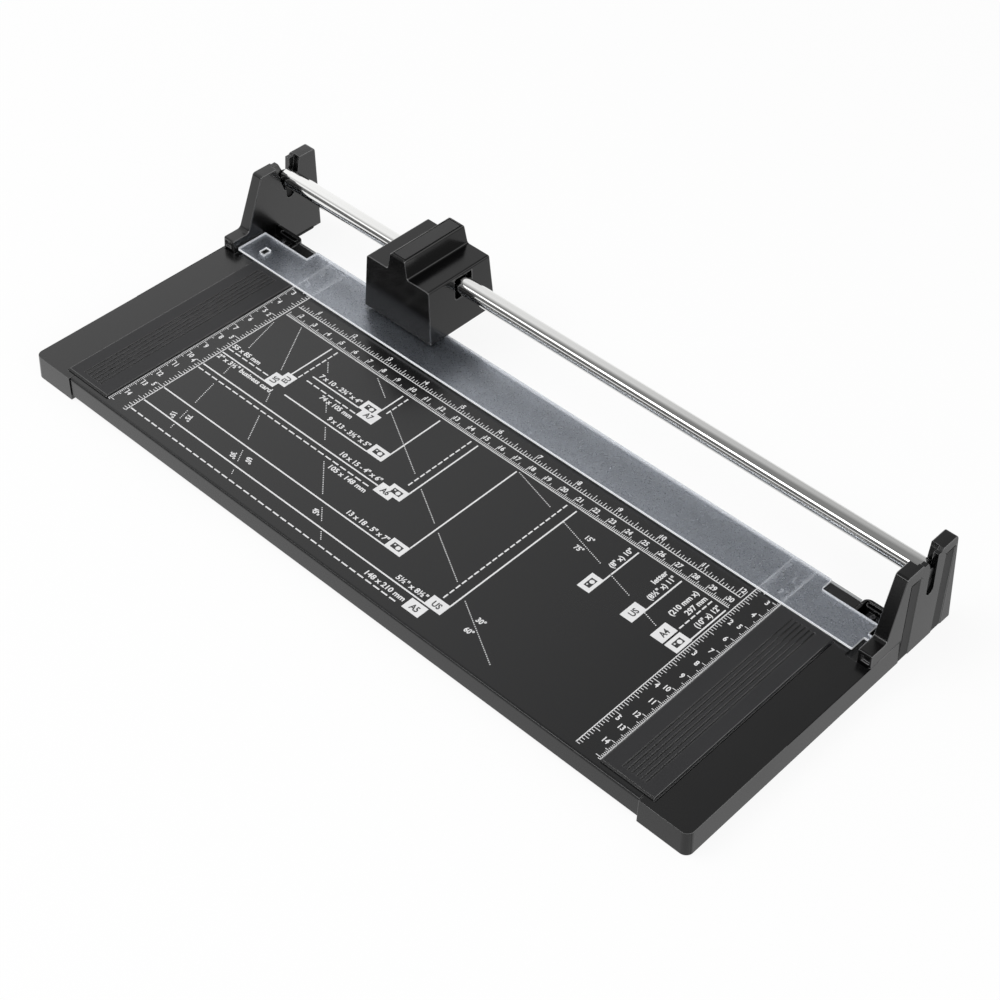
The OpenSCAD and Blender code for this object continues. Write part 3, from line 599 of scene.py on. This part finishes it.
def dress_all():
    """Gives each CAD node its finish and softened edges."""
    for node, (material, edge) in DRESS.items():
        piece = dressed(node, [material], [(edge, NARROW_STEPS)] if edge else [])
        if node in PRESSED:
            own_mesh(piece)
    cap_edges = [(POST_EDGE, WIDE_STEPS, on_post), (CAP_EDGE, NARROW_STEPS)]
    plate_edges = [(PLATE_EDGE, NARROW_STEPS)]
    for node in ("left_end_cap", "right_end_cap"):
        dressed(node, ["moulded_black", "band_texture_and_painted_shade_black"], cap_edges, in_band)
    for node in ("left_grip_plate", "right_grip_plate"):
        # The grip plates' sides and groove floors take the darker finish as painted shade
        dressed(node, ["grip_black", "band_texture_and_painted_shade_black"], plate_edges, off_the_top)
    strip_edges = [(STRIP_EDGE, NARROW_STEPS)]
    # The strip's upright edges take the glowing finish, a painted glow
    dressed("clamp_strip", ["frosted_clear", "strip_edge"], strip_edges, on_edge)


# Print on the table

class Print:
    """Flat ink on the table, thicker on each level, so that no two levels share an upper face.

    Places are millimetres: x along the field, and d from the cut toward the user.
    """

    def __init__(self, level):
        self.bm = bmesh.new()
        self.thick = (level + 1) * INK

    def spot(self, x, d):
        """The place on the table's face."""
        return Vector((FIELD_LEFT + x * MM, CUT_Y - d * MM, DECK))

    def lifted(self, place):
        """A place on the table's face, raised to the middle of the ink."""
        return place + Vector((0, 0, self.thick / 2 * MM))

    def stroke(self, x0, d0, x1, d1, width):
        """A straight stroke between two places."""
        a, b = self.spot(x0, d0), self.spot(x1, d1)
        run = b - a
        turn = Matrix.Rotation(math.atan2(run.y, run.x), 4, "Z")
        size = Matrix.Diagonal((run.length, width * MM, self.thick * MM, 1))
        middle = Matrix.Translation(self.lifted((a + b) / 2))
        bmesh.ops.create_cube(self.bm, size=1, matrix=middle @ turn @ size)

    def patch(self, x0, d0, x1, d1):
        """A filled rectangle."""
        self.stroke(x0, (d0 + d1) / 2, x1, (d0 + d1) / 2, abs(d1 - d0))

    def disc(self, x, d, radius):
        """A filled disc."""
        bmesh.ops.create_cone(
            self.bm, cap_ends=True, cap_tris=False, segments=24, radius1=radius * MM,
            radius2=radius * MM, depth=self.thick * MM,
            matrix=Matrix.Translation(self.lifted(self.spot(x, d))),
        )

    def dashes(self, x0, d0, x1, d1, width, dash, gap):
        """A dashed stroke that starts with a dash."""
        length = math.hypot(x1 - x0, d1 - d0)
        ux, ud = (x1 - x0) / length, (d1 - d0) / length
        for i in range(int((length + gap) / (dash + gap))):
            start = i * (dash + gap)
            end = min(start + dash, length)
            self.stroke(
                x0 + ux * start, d0 + ud * start, x0 + ux * end, d0 + ud * end, width,
            )

    def words(self, text, x, d, height, width=None, turn=0.0, align="LEFT", weight=0.0):
        """Letters with digits of this height, on a baseline that starts, centres or ends at a place.

        A given width squeezes them to it. turn is in degrees, and weight makes the strokes bolder.
        """
        curve = bpy.data.curves.new("letters", "FONT")
        curve.body = text
        curve.size = height / DIGIT_SHARE
        curve.resolution_u = 3
        curve.extrude = self.thick / 2
        curve.offset = weight
        holder = bpy.data.objects.new("letters", curve)
        mesh = bpy.data.meshes.new_from_object(holder)
        xs = [v.co.x for v in mesh.vertices]
        left, span = min(xs), max(xs) - min(xs)
        squeeze = width / span if width else LETTER_SQUEEZE
        shift = {"LEFT": 0, "CENTER": 0.5, "RIGHT": 1}[align] * span
        place = Matrix.Translation(self.lifted(self.spot(x, d)))
        mesh.transform(
            place @ Matrix.Rotation(math.radians(turn), 4, "Z")
            @ Matrix.Diagonal((MM * squeeze, MM, MM, 1))
            @ Matrix.Translation((-left - shift, 0, 0))
        )
        self.bm.from_mesh(mesh)
        bpy.data.objects.remove(holder)
        bpy.data.curves.remove(curve)
        bpy.data.meshes.remove(mesh)

    def finish(self, name, material):
        """Makes the print a piece on the base."""
        bmesh.ops.remove_doubles(self.bm, verts=self.bm.verts, dist=PRINT_MERGE)
        return new_piece(name, self.bm, "base", [material])


# The font's digits stand this share of its size high, and the print's letters are this much
# narrower
DIGIT_SHARE = 0.729
LETTER_SQUEEZE = 0.84

# Heights of the digits and of the labels' letters, and how much bolder both are than the font
DIGITS = 3.0
LABEL_LETTERS = 3.5
BOLD = 0.12

# Widths of the scales' marks, of their baselines and of the formats' lines
TICK = 0.34
RULE = 0.5
LINE = 0.8
DASHED_LINE = LINE * 0.95

# Dash and gap of the formats' lines up and across the field, and of the rays
UP_DASHES = (3.0, 1.0)
ACROSS_DASHES = (3.8, 1.3)
RAY_WIDTH = 0.5
RAY_DOTS = (0.55, 0.65)

# The scales along the strip: their baselines, where they start and end, and how far their
# digits stand above the baselines and beside the marks
TOP_INCH_D = 37.6
TOP_CM_D = 46.3
TOP_START = 14.6
CLOSING_X = 12 * INCH
TOP_INCH_LIFT = 2.9
TOP_CM_LIFT = 3.3
DIGIT_ASIDE = 0.5

# The scales along the sides: their baselines, the middles of their digits, where they start and
# end, and how far the digits' feet lie past the marks
LEFT_CM_X = 0.4
LEFT_INCH_X = 13.2
RIGHT_INCH_X = 306.6
RIGHT_CM_X = FIELD_WIDTH - 0.9
LEFT_CM_DIGITS_X = 4.6
LEFT_INCH_DIGITS_X = 8.3
RIGHT_INCH_DIGITS_X = 311.0
RIGHT_CM_DIGITS_X = 315.4
SIDE_START = 0.6
SIDE_END = 151.0
SIDE_DIGIT_DROP = 3.1

# Last numbers on the scales, and marks in an inch and a centimetre
LAST_INCH = 12
LAST_CM = 30
LAST_SIDE_INCH = 5
LAST_SIDE_CM = 14
INCH_PARTS = 16
CM_PARTS = 10

# Where the formats' upright lines start
FORMAT_TOP = 48.4


def tick_length(step, lengths):
    """The length of a mark: the longest whose step divides its number."""
    return next(length for every, length in lengths if step % every == 0)


# Marks: which numbers get each length, the longest first
INCH_MARKS = [(16, 5.2), (8, 3.9), (4, 3.2), (2, 2.6), (1, 2.0)]
CM_MARKS = [(10, 5.0), (5, 3.4), (1, 1.9)]
SIDE_INCH_MARKS = [(16, 4.4), (8, 3.6), (4, 2.9), (2, 2.5), (1, 2.0)]
SIDE_CM_MARKS = [(10, 3.2), (5, 2.3), (1, 1.3)]


def top_scales(ink):
    """Inch and centimetre scales along the strip."""
    ink.stroke(TOP_START, TOP_INCH_D, CLOSING_X, TOP_INCH_D, RULE)
    ink.stroke(TOP_START, TOP_CM_D, CLOSING_X, TOP_CM_D, RULE)
    for step in range(LAST_INCH * INCH_PARTS + 1):
        x = step / INCH_PARTS * INCH
        if x > TOP_START:
            ink.stroke(x, TOP_INCH_D, x, TOP_INCH_D - tick_length(step, INCH_MARKS), TICK)
    for step in range(int(CLOSING_X) + 1):
        if step > TOP_START:
            ink.stroke(step, TOP_CM_D, step, TOP_CM_D - tick_length(step, CM_MARKS), TICK)
    for number in range(1, LAST_INCH + 1):
        last = number == LAST_INCH
        ink.words(
            str(number), number * INCH + (-DIGIT_ASIDE if last else DIGIT_ASIDE),
            TOP_INCH_D - TOP_INCH_LIFT, DIGITS, align="RIGHT" if last else "LEFT", weight=BOLD,
        )
    for number in range(2, LAST_CM + 1):
        x = number * CM_PARTS + DIGIT_ASIDE
        ink.words(str(number), x, TOP_CM_D - TOP_CM_LIFT, DIGITS, weight=BOLD)


def side_scale(ink, x, way, unit, per_unit, marks, last, number_x):
    """One scale along a side, from the cut to the front. Its marks point way, 1 or -1."""
    ink.stroke(x, SIDE_START, x, SIDE_END, RULE)
    for step in range(1, int(SIDE_END / unit * per_unit) + 1):
        d = step * unit / per_unit
        ink.stroke(x, d, x + way * tick_length(step, marks), d, TICK)
    for number in range(1, last + 1):
        foot = number * unit + SIDE_DIGIT_DROP
        ink.words(str(number), number_x, foot, DIGITS, align="CENTER", weight=BOLD)


def side_scales(ink):
    """Centimetres outside and inches inside, on both sides."""
    cm = (CM_PARTS, CM_PARTS, SIDE_CM_MARKS, LAST_SIDE_CM)
    inch = (INCH, INCH_PARTS, SIDE_INCH_MARKS, LAST_SIDE_INCH)
    side_scale(ink, LEFT_CM_X, 1, *cm, LEFT_CM_DIGITS_X)
    side_scale(ink, LEFT_INCH_X, -1, *inch, LEFT_INCH_DIGITS_X)
    side_scale(ink, RIGHT_INCH_X, 1, *inch, RIGHT_INCH_DIGITS_X)
    side_scale(ink, RIGHT_CM_X, -1, *cm, RIGHT_CM_DIGITS_X)


def format_lines(ink):
    """Corner lines of the paper and picture formats."""
    # Vertical: place, how far down it reaches, dashed or not
    for x, reach, dashed in (
        (50.8, 79, False), (101.6, 63, False), (127, 82, False), (152.4, 95, False),
        (177.8, 120, False), (215.9, 133, False), (254, 73, False), (279.4, 73, False),
        (304.8, 73, False), (55, 76, True), (105, 67, True), (148, 95, True), (210, 133, True),
        (297, 73, True),
    ):
        if dashed:
            ink.dashes(x, FORMAT_TOP, x, reach, DASHED_LINE, *UP_DASHES)
        else:
            ink.stroke(x, FORMAT_TOP, x, reach, LINE)
    # Horizontal: distance, from, to, dashed or not
    for d, x0, x1, dashed in (
        (88.9, 14, 45, False), (101.6, 14, 138, False), (127, 14, 168, False),
        (139.7, 14, 206, False), (85, 14, 43.5, True), (105, 14, 138, True), (148, 14, 200, True),
        (69.85, 59.6, 92, False), (74, 59.6, 95, True), (88.9, 59.6, 117, False),
    ):
        if dashed:
            ink.dashes(x0, d, x1, d, DASHED_LINE, *ACROSS_DASHES)
        else:
            ink.stroke(x0, d, x1, d, LINE)


# Rays at whole angles from the field's corner: the angle, and the distances between which each
# part runs
RAYS = (
    (75, ((55, 78), (93, 100), (108, 124), (130, 137), (141, 145))),
    (60, ((48, 78), (93, 99), (108, 124), (130, 137), (142, 145))),
    (45, ((57, 63), (78, 84), (91, 98), (108, 124), (130, 137), (141, 145))),
    (30, ((48, 56), (61, 84), (89, 101), (104, 120), (126, 146))),
    (15, ((48, 55), (58, 66), (68, 72), (75, 77.5))),
)


def rays(ink):
    """Dotted rays that show the angles."""
    for angle, parts in RAYS:
        slope = 1 / math.tan(math.radians(angle))
        for d0, d1 in parts:
            ink.dashes(d0 * slope, d0, d1 * slope, d1, RAY_WIDTH, *RAY_DOTS)


def angle_words(ink):
    """Names of the angles beside the rays: text, start of the baseline and turn."""
    for text, x, d, turn in (
        ("15°", 30.2, 135.5, -75), ("75°", 37.4, 131.6, -75), ("30°", 72.0, 134.5, -60),
        ("60°", 80.0, 131.6, -60), ("45°", 127.4, 133.4, -45), ("30°", 229.6, 131.4, 0),
        ("60°", 229.6, 139.2, 0), ("15°", 230.4, 59.2, 0), ("75°", 230.4, 67.2, 0),
    ):
        ink.words(text, x, d, DIGITS, turn=turn, weight=BOLD)


def format_words(ink):
    """Names of the formats: text, left end, right end and baseline."""
    for text, x0, x1, d in (
        ('7 x 10 - 2¾" x 4"', 61.8, 90.3, 67.9), ("74 x 105 mm", 73.2, 95.0, 78.6),
        ('9 x 13 - 3½" x 5"', 87.2, 115.6, 86.7), ('10 x 15 - 4" x 6"', 109.8, 136.8, 99.6),
        ("105 x 148 mm", 112.4, 136.6, 109.7), ('13 x 18 - 5" x 7"', 140.6, 167.0, 124.8),
        ('5½" x 8½"', 186.0, 204.8, 137.8), ("148 x 210 mm", 174.2, 198.6, 145.8),
        ("55 x 85 mm", 14.2, 33.8, 83.0), ('2" x 3½" business card', 14.2, 53.0, 93.2),
    ):
        ink.words(text, x0, d, DIGITS, width=x1 - x0, weight=BOLD)
    # Reading up the field: text, baseline x, lower end and upper end
    for text, x, d0, d1 in (
        ('(8" x) 10"', 251.8, 64.4, 49.0), ("letter", 272.2, 58.4, 48.8),
        ('(8½" x) 11"', 277.0, 67.4, 48.8), ("(210 mm x)", 290.0, 68.0, 48.8),
        ("297 mm", 295.0, 62.6, 48.8), ('(10" x) 12"', 302.8, 65.6, 48.8),
    ):
        ink.words(text, x, d0, DIGITS, width=d0 - d1, turn=90, weight=BOLD)


# White labels at the formats' corners: left, top, right, bottom, what is in them and its turn
LABELS = (
    (91.8, 62.8, 101.9, 69.9, "picture", 0), (94.8, 67.0, 105.3, 74.3, "A7", 0),
    (117.0, 82.0, 127.4, 89.2, "picture", 0), (142.4, 95.0, 152.8, 102.2, "picture", 0),
    (138.2, 98.2, 148.4, 105.3, "A6", 0), (167.8, 120.2, 178.2, 127.4, "picture", 0),
    (206.0, 132.9, 216.2, 140.1, "US", 0), (200.2, 141.0, 210.3, 148.2, "A5", 0),
    (44.4, 80.2, 51.2, 89.3, "US", 90), (48.6, 76.2, 55.4, 85.3, "EU", 90),
    (247.2, 72.9, 254.4, 83.6, "picture", 90), (272.6, 72.9, 279.8, 83.6, "US", 90),
    (290.2, 72.9, 297.4, 83.6, "A4", 90), (298.4, 72.9, 305.6, 83.6, "picture", 90),
)


# How far a label's letters stand below its middle
LABEL_DROP = 1.8

# The camera sign from its middle: half its length and height, the lens's place and radius, and
# the viewfinder's two corners
SIGN_LONG = 2.9
SIGN_HIGH = 1.7
LENS_ALONG = 0.9
LENS_DOWN = 0.1
LENS_R = 1.25
FINDER = (-2.1, -1.0, -1.2, -0.2)


def picture_sign(ink, paper, x, d, turned):
    """A small camera sign: body, viewfinder and round lens. A turned one reads up the field."""
    a0, b0, a1, b1 = FINDER
    if turned:
        ink.patch(x - SIGN_HIGH, d - SIGN_LONG, x + SIGN_HIGH, d + SIGN_LONG)
        paper.disc(x + LENS_DOWN, d - LENS_ALONG, LENS_R)
        paper.patch(x + b0, d - a1, x + b1, d - a0)
    else:
        ink.patch(x - SIGN_LONG, d - SIGN_HIGH, x + SIGN_LONG, d + SIGN_HIGH)
        paper.disc(x + LENS_ALONG, d + LENS_DOWN, LENS_R)
        paper.patch(x + a0, d + b0, x + a1, d + b1)


def labels(paper, upper_paper, words, lenses):
    """White labels with dark letters or a camera sign. Some lie over their neighbour."""
    style = {"align": "CENTER", "weight": BOLD}
    for x0, d0, x1, d1, inside, turn in LABELS:
        x, d = (x0 + x1) / 2, (d0 + d1) / 2
        (upper_paper if inside in ("picture", "EU") else paper).patch(x0, d0, x1, d1)
        if inside == "picture":
            picture_sign(words, lenses, x, d, turn == 90)
        elif turn == 90:
            words.words(inside, x + LABEL_DROP, d, LABEL_LETTERS, turn=90, **style)
        else:
            words.words(inside, x, d + LABEL_DROP, LABEL_LETTERS, **style)


def print_table():
    """All print on the table, in layers from the table up."""
    white, paper, upper_paper, words, lenses = (Print(level) for level in range(5))
    top_scales(white)
    side_scales(white)
    format_lines(white)
    rays(white)
    angle_words(white)
    format_words(white)
    labels(paper, upper_paper, words, lenses)
    white.finish("print_white", "white_ink")
    paper.finish("label_paper", "white_ink")
    upper_paper.finish("upper_label_paper", "white_ink")
    words.finish("label_words", "dark_ink")
    lenses.finish("sign_lenses", "white_ink")


# Stage: floor, light and camera

# Side of the floor in metres, its grey, and how much of it is plain white to rays that see it
FLOOR_SIZE = 12.0
FLOOR_GREY = 0.82
FLOOR_GLOW = 0.9

# Brightness of the studio: as diffuse light, and its wall and two soft boxes in reflections
STUDIO_DIFFUSE = 0.55
WALL_LEVEL = 1.5
FRONT_BOX_LEVEL = 5.0
RIGHT_BOX_LEVEL = 2.2

# The photograph's camera: its place in millimetres, its angles in degrees, its lens and sensor
CAMERA_PLACE = (479.87, -520.44, 687.84)
CAMERA_TURN = 41.511
CAMERA_TILT = 44.446
CAMERA_ROLL = 2.311
CAMERA_LENS = 73.94
SENSOR = 36.0


def ray_is(finish, *kinds):
    """1 for rays of these kinds, else 0."""
    path = finish.node("ShaderNodeLightPath")
    total = path.out(kinds[0])
    for kind in kinds[1:]:
        total = total + path.out(kind)
    return total.clamped()


def white_floor():
    """A white floor that still holds a soft shadow."""
    f = Finish("white_floor")
    f.shader.inputs["Base Color"].default_value = (FLOOR_GREY, FLOOR_GREY, FLOOR_GREY, 1)
    f.shader.inputs["Roughness"].default_value = 0.9
    f.shader.inputs["Specular IOR Level"].default_value = 0.0
    # Reflections see the floor brighter at the left than at the right
    across = f.node("ShaderNodeSeparateXYZ", None, {0: f.place()}).out("X")
    side = f.ramp(across * 2.0 + 0.5, [(0.0, 1.15), (1.0, 0.7)])
    glossy = ray_is(f, "Is Glossy Ray")
    strength = 1 + glossy * (side - 1)
    white = {"Color": (1, 1, 1, 1), "Strength": strength}
    glow = f.node("ShaderNodeEmission", None, white).out(0)
    share = ray_is(f, "Is Camera Ray", "Is Glossy Ray", "Is Transmission Ray") * FLOOR_GLOW
    parts = {0: share, 1: Wire(f, f.shader.outputs[0]), 2: glow}
    mixed = f.node("ShaderNodeMixShader", None, parts).out(0)
    f.tree.links.new(mixed.socket, f.tree.nodes["Material Output"].inputs["Surface"])
    return f.material


def floor():
    """The pale floor under the feet."""
    bm = bmesh.new()
    bmesh.ops.create_grid(bm, x_segments=1, y_segments=1, size=FLOOR_SIZE / 2)
    mesh = bpy.data.meshes.new("floor")
    bm.to_mesh(mesh)
    bm.free()
    mesh.materials.append(white_floor())
    piece = bpy.data.objects.new("floor", mesh)
    bpy.context.scene.collection.objects.link(piece)


def studio():
    """World: white to the camera, and a room for reflections, bright behind and dim in front."""
    world = bpy.data.worlds.new("studio")
    world.use_nodes = True
    bpy.context.scene.world = world
    f = Finish("studio", tree=world.node_tree)
    background = world.node_tree.nodes["Background"]
    background.inputs["Color"].default_value = (1, 1, 1, 1)
    seen = f.node("ShaderNodeTexCoord").out("Generated")
    way = f.node("ShaderNodeSeparateXYZ", None, {0: seen})
    across, back, height = way.out("X"), way.out("Y"), way.out("Z")
    # Directions run from -1 to 1, and a ramp from 0 to 1
    from_left, from_front = across * 0.5 + 0.5, back * 0.5 + 0.5
    # A bright wall at the left and behind, dimmer to the right, with a soft end
    wall = f.ramp(from_left, [
        (0.0, 1.0), (0.16, 0.93), (0.205, 0.76), (0.26, 0.58), (0.295, 0.44), (0.345, 0.35),
        (0.5, 0.26), (1.0, 0.2),
    ]) * WALL_LEVEL
    inside = f.ramp((back - across * 3.0 - 1.35) * 0.5 + 0.5, [(0.38, 0.0), (0.63, 1.0)])
    # A dim room elsewhere, with a soft box in front and one at the right
    dim = f.ramp(height, [(0.0, 0.15), (0.4, 0.16), (0.9, 0.28)])
    front_high = f.ramp(height, [(0.42, 0.0), (0.47, 1.0), (0.60, 1.0), (0.65, 0.0)])
    front_wide = f.ramp(from_left, [
        (0.16, 0.0), (0.22, 0.3), (0.25, 0.35), (0.28, 1.0), (0.62, 1.0), (0.70, 0.0),
    ])
    front_near = f.ramp(from_front, [(0.25, 1.0), (0.32, 0.0)])
    right_high = f.ramp(height, [(0.1, 0.0), (0.45, 1.0), (0.6, 1.0), (1.0, 0.0)])
    right_wide = f.ramp(from_left, [(0.64, 0.0), (0.74, 1.0)])
    front_box = front_high * front_wide * front_near * FRONT_BOX_LEVEL
    right_box = right_high * right_wide * RIGHT_BOX_LEVEL
    room = wall * inside + (dim + front_box + right_box) * (1 - inside)
    direct = ray_is(f, "Is Camera Ray", "Is Transmission Ray")
    glossy = ray_is(f, "Is Glossy Ray")
    level = direct + (1 - direct) * (glossy * room + (1 - glossy) * STUDIO_DIFFUSE)
    world.node_tree.links.new(level.socket, background.inputs["Strength"])


def soft_lamp(name, place, aim, size, power):
    """A large square lamp that points at a spot and isn't reflected. Lengths are metres."""
    light = bpy.data.lights.new(name, "AREA")
    light.size = size
    light.energy = power
    lamp = bpy.data.objects.new(name, light)
    lamp.location = place
    lamp.rotation_euler = (Vector(aim) - Vector(place)).to_track_quat("-Z", "Y").to_euler()
    lamp.visible_glossy = False
    bpy.context.scene.collection.objects.link(lamp)


def lamps():
    """A wide key from the left front and a weaker fill from the right."""
    middle = (0, 0, 0.02)
    soft_lamp("key", (-0.9, -0.9, 1.7), middle, size=1.4, power=26)
    soft_lamp("fill", (1.6, -0.5, 1.0), middle, size=1.2, power=12)


def camera():
    """The photograph's camera, from its place, its turn round the object, its tilt and its roll."""
    turn, tilt, roll = (math.radians(a) for a in (CAMERA_TURN, CAMERA_TILT, CAMERA_ROLL))
    ahead = Vector((
        -math.sin(turn) * math.cos(tilt), math.cos(turn) * math.cos(tilt), -math.sin(tilt),
    ))
    level = Vector((math.cos(turn), math.sin(turn), 0))
    upright = level.cross(ahead)
    right = level * math.cos(roll) + upright * math.sin(roll)
    up = right.cross(ahead)
    data = bpy.data.cameras.new("photo")
    data.lens = CAMERA_LENS
    data.sensor_width = SENSOR
    data.clip_start = 0.01
    data.clip_end = 50
    view = bpy.data.objects.new("photo", data)
    place = Matrix.Translation(Vector(CAMERA_PLACE) * MM)
    view.matrix_world = place @ Matrix((right, up, -ahead)).transposed().to_4x4()
    bpy.context.scene.collection.objects.link(view)
    bpy.context.scene.camera = view


dress_all()
print_table()
floor()
studio()
lamps()
camera()
bpy.context.scene.view_settings.view_transform = "Standard"
